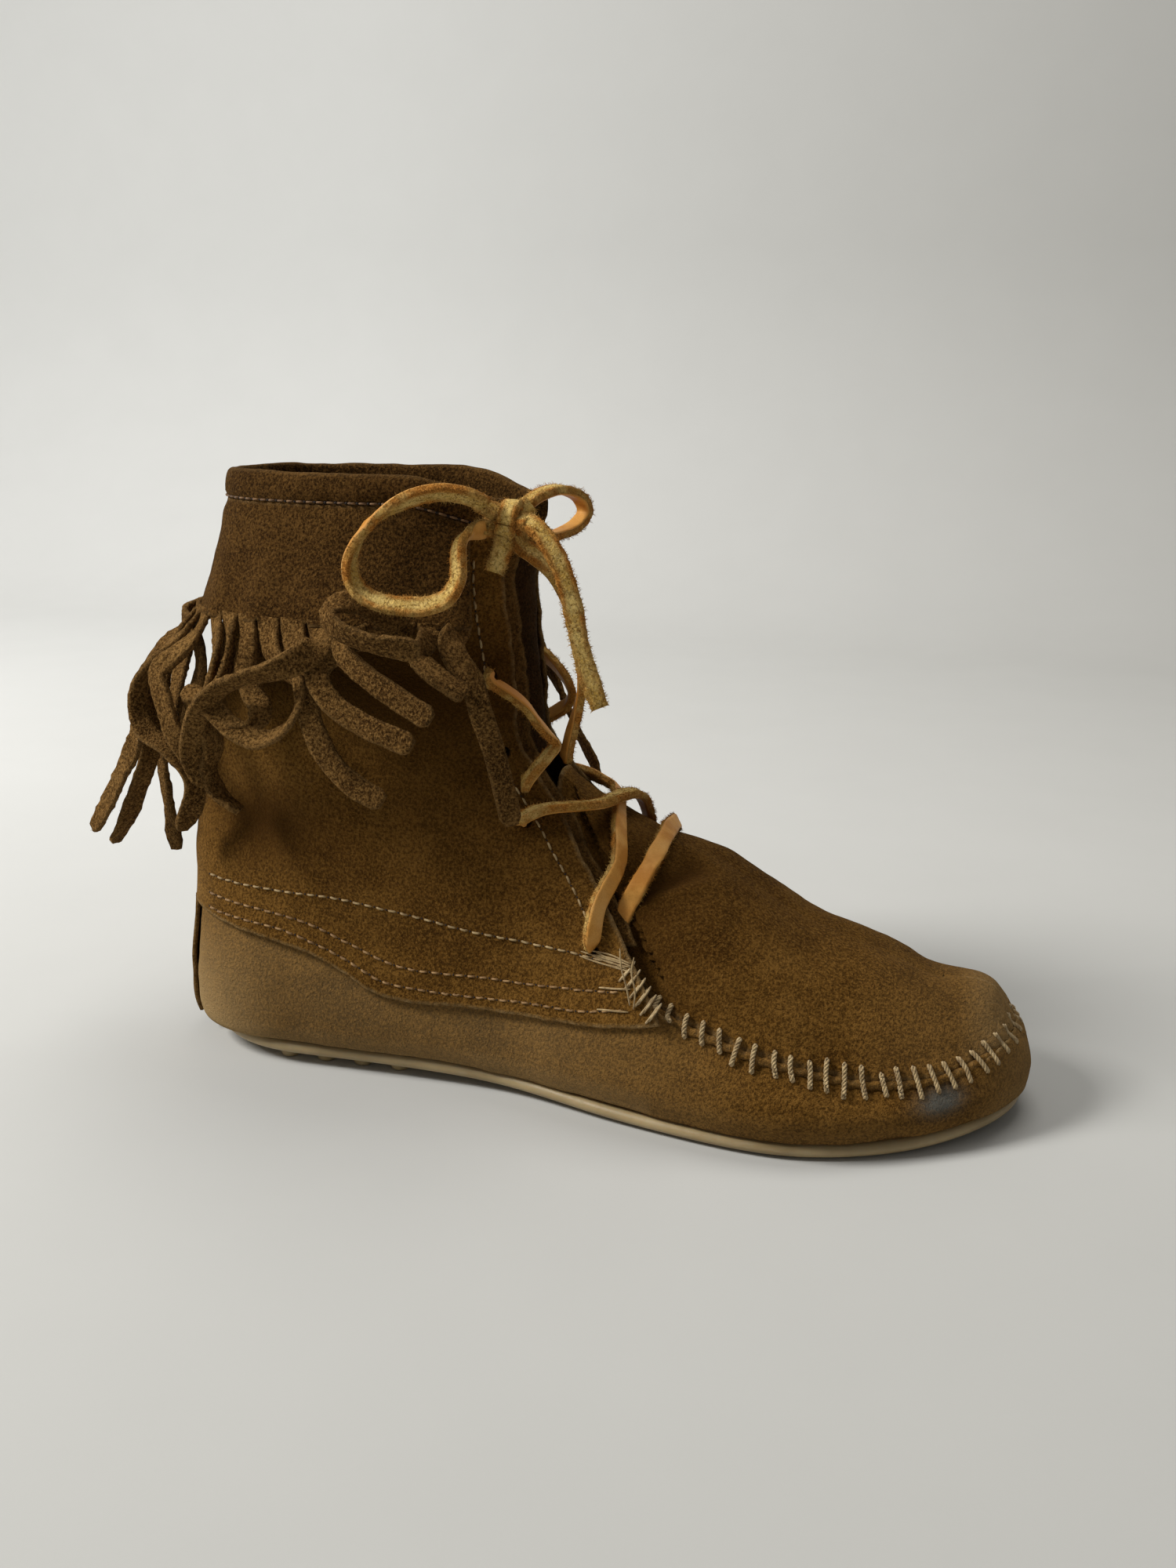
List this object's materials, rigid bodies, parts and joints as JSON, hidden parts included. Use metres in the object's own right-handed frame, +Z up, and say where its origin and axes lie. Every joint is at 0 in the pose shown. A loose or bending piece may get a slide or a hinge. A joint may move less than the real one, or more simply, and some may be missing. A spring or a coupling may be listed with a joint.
{
  "type": "moccasin",
  "caption": "Ankle-high lace-up moccasin boot for the right foot: suede wrap and hand-sewn apron, split front with a rawhide lace and bow, fringed collar, nubbed rubber sole.",
  "frame": {"origin": "middle of the bounding box's underside, on the floor", "axes": "+X towards the toe, +Y towards the inner (medial) side of the right foot, +Z up the ankle"},
  "size_m": [0.293, 0.1232, 0.177],
  "materials": {
    "suede": "napped suede, warm brown, worn paler at heel and toe",
    "suede_fringe": "napped suede with cut edges",
    "suede_trim": "suede strip with raw edges",
    "suede_inner": "suede, flesh side",
    "rawhide": "oiled rawhide thong, smooth tan grain and fuzzy golden edges",
    "rubber_sole": "translucent honey-brown rubber, satin",
    "foam": "foam",
    "lining": "brushed textile lining",
    "board": "fibre board"
  },
  "bodies": {
    "boot": {"outsole": "rubber_sole", "insole_cushion": "foam", "sock_lining": "lining", "vamp_wrap": "suede", "heel_counter": "board", "heel_lining": "lining", "heel_tab": "suede_trim", "quarter_lateral": "suede", "quarter_medial": "suede", "facing_lateral": "suede_trim", "facing_medial": "suede_trim", "apron": "suede", "collar_band": "suede", "fringe_skirt": "suede_fringe", "lace_bar": "rawhide", "lace_cross_low": "rawhide", "lace_cross_high": "rawhide", "lace_turn_lateral": "rawhide", "lace_turn_medial": "rawhide", "lace_run": "rawhide", "lace_knot": "rawhide"},
    "tongue_flap": {"tongue": "suede_inner"},
    "fringe_lateral_front": {"fringe_strand_01": "suede_fringe", "fringe_strand_02": "suede_fringe", "fringe_strand_03": "suede_fringe", "fringe_strand_04": "suede_fringe", "fringe_strand_05": "suede_fringe", "fringe_strand_06": "suede_fringe", "fringe_strand_07": "suede_fringe", "fringe_strand_08": "suede_fringe"},
    "fringe_lateral_rear": {"fringe_strand_09": "suede_fringe", "fringe_strand_10": "suede_fringe", "fringe_strand_11": "suede_fringe", "fringe_strand_12": "suede_fringe", "fringe_strand_13": "suede_fringe"},
    "fringe_back": {"fringe_strand_14": "suede_fringe", "fringe_strand_15": "suede_fringe", "fringe_strand_16": "suede_fringe", "fringe_strand_17": "suede_fringe", "fringe_strand_18": "suede_fringe", "fringe_strand_19": "suede_fringe"},
    "fringe_medial_rear": {"fringe_strand_20": "suede_fringe", "fringe_strand_21": "suede_fringe", "fringe_strand_22": "suede_fringe", "fringe_strand_23": "suede_fringe", "fringe_strand_24": "suede_fringe"},
    "fringe_medial_front": {"fringe_strand_25": "suede_fringe", "fringe_strand_26": "suede_fringe", "fringe_strand_27": "suede_fringe", "fringe_strand_28": "suede_fringe", "fringe_strand_29": "suede_fringe", "fringe_strand_30": "suede_fringe", "fringe_strand_31": "suede_fringe", "fringe_strand_32": "suede_fringe"},
    "bow_loop_lateral": {"lace_loop_lateral": "rawhide"},
    "bow_loop_medial": {"lace_loop_medial": "rawhide"},
    "bow_end": {"lace_end": "rawhide"}
  },
  "joints": [
    {"name": "tongue_fold", "type": "hinge", "parent": "boot", "child": "tongue_flap", "pos_m": [0.00028, 0.00143, 0.077], "axis": [0, 1, 0], "range_deg": [-18, 0]},
    {"name": "fringe_lateral_front_lift", "type": "hinge", "parent": "boot", "child": "fringe_lateral_front", "pos_m": [-0.04032, -0.03768, 0.1359], "axis": [-0.9932, -0.1164, 0], "range_deg": [0, 28]},
    {"name": "fringe_lateral_rear_lift", "type": "hinge", "parent": "boot", "child": "fringe_lateral_rear", "pos_m": [-0.08748, -0.02937, 0.1359], "axis": [-0.8526, 0.5226, 0], "range_deg": [0, 28]},
    {"name": "fringe_back_lift", "type": "hinge", "parent": "boot", "child": "fringe_back", "pos_m": [-0.10486, 0.00143, 0.1359], "axis": [0, 1, 0], "range_deg": [0, 28]},
    {"name": "fringe_medial_rear_lift", "type": "hinge", "parent": "boot", "child": "fringe_medial_rear", "pos_m": [-0.08748, 0.03222, 0.1359], "axis": [0.8526, 0.5226, 0], "range_deg": [0, 28]},
    {"name": "fringe_medial_front_lift", "type": "hinge", "parent": "boot", "child": "fringe_medial_front", "pos_m": [-0.04032, 0.04054, 0.1359], "axis": [0.9932, -0.1164, 0], "range_deg": [0, 28]},
    {"name": "bow_loop_lateral_lift", "type": "hinge", "parent": "boot", "child": "bow_loop_lateral", "pos_m": [-0.00272, -0.03557, 0.1665], "axis": [-0.3522, 0.9359, 0], "range_deg": [0, 40]},
    {"name": "bow_loop_medial_lift", "type": "hinge", "parent": "boot", "child": "bow_loop_medial", "pos_m": [0.00178, -0.02857, 0.1665], "axis": [0.9359, -0.3522, 0], "range_deg": [0, 35]},
    {"name": "bow_end_swing", "type": "hinge", "parent": "boot", "child": "bow_end", "pos_m": [0.00378, -0.03407, 0.1662], "axis": [0, 1, 0], "range_deg": [-35, 0]}
  ]
}
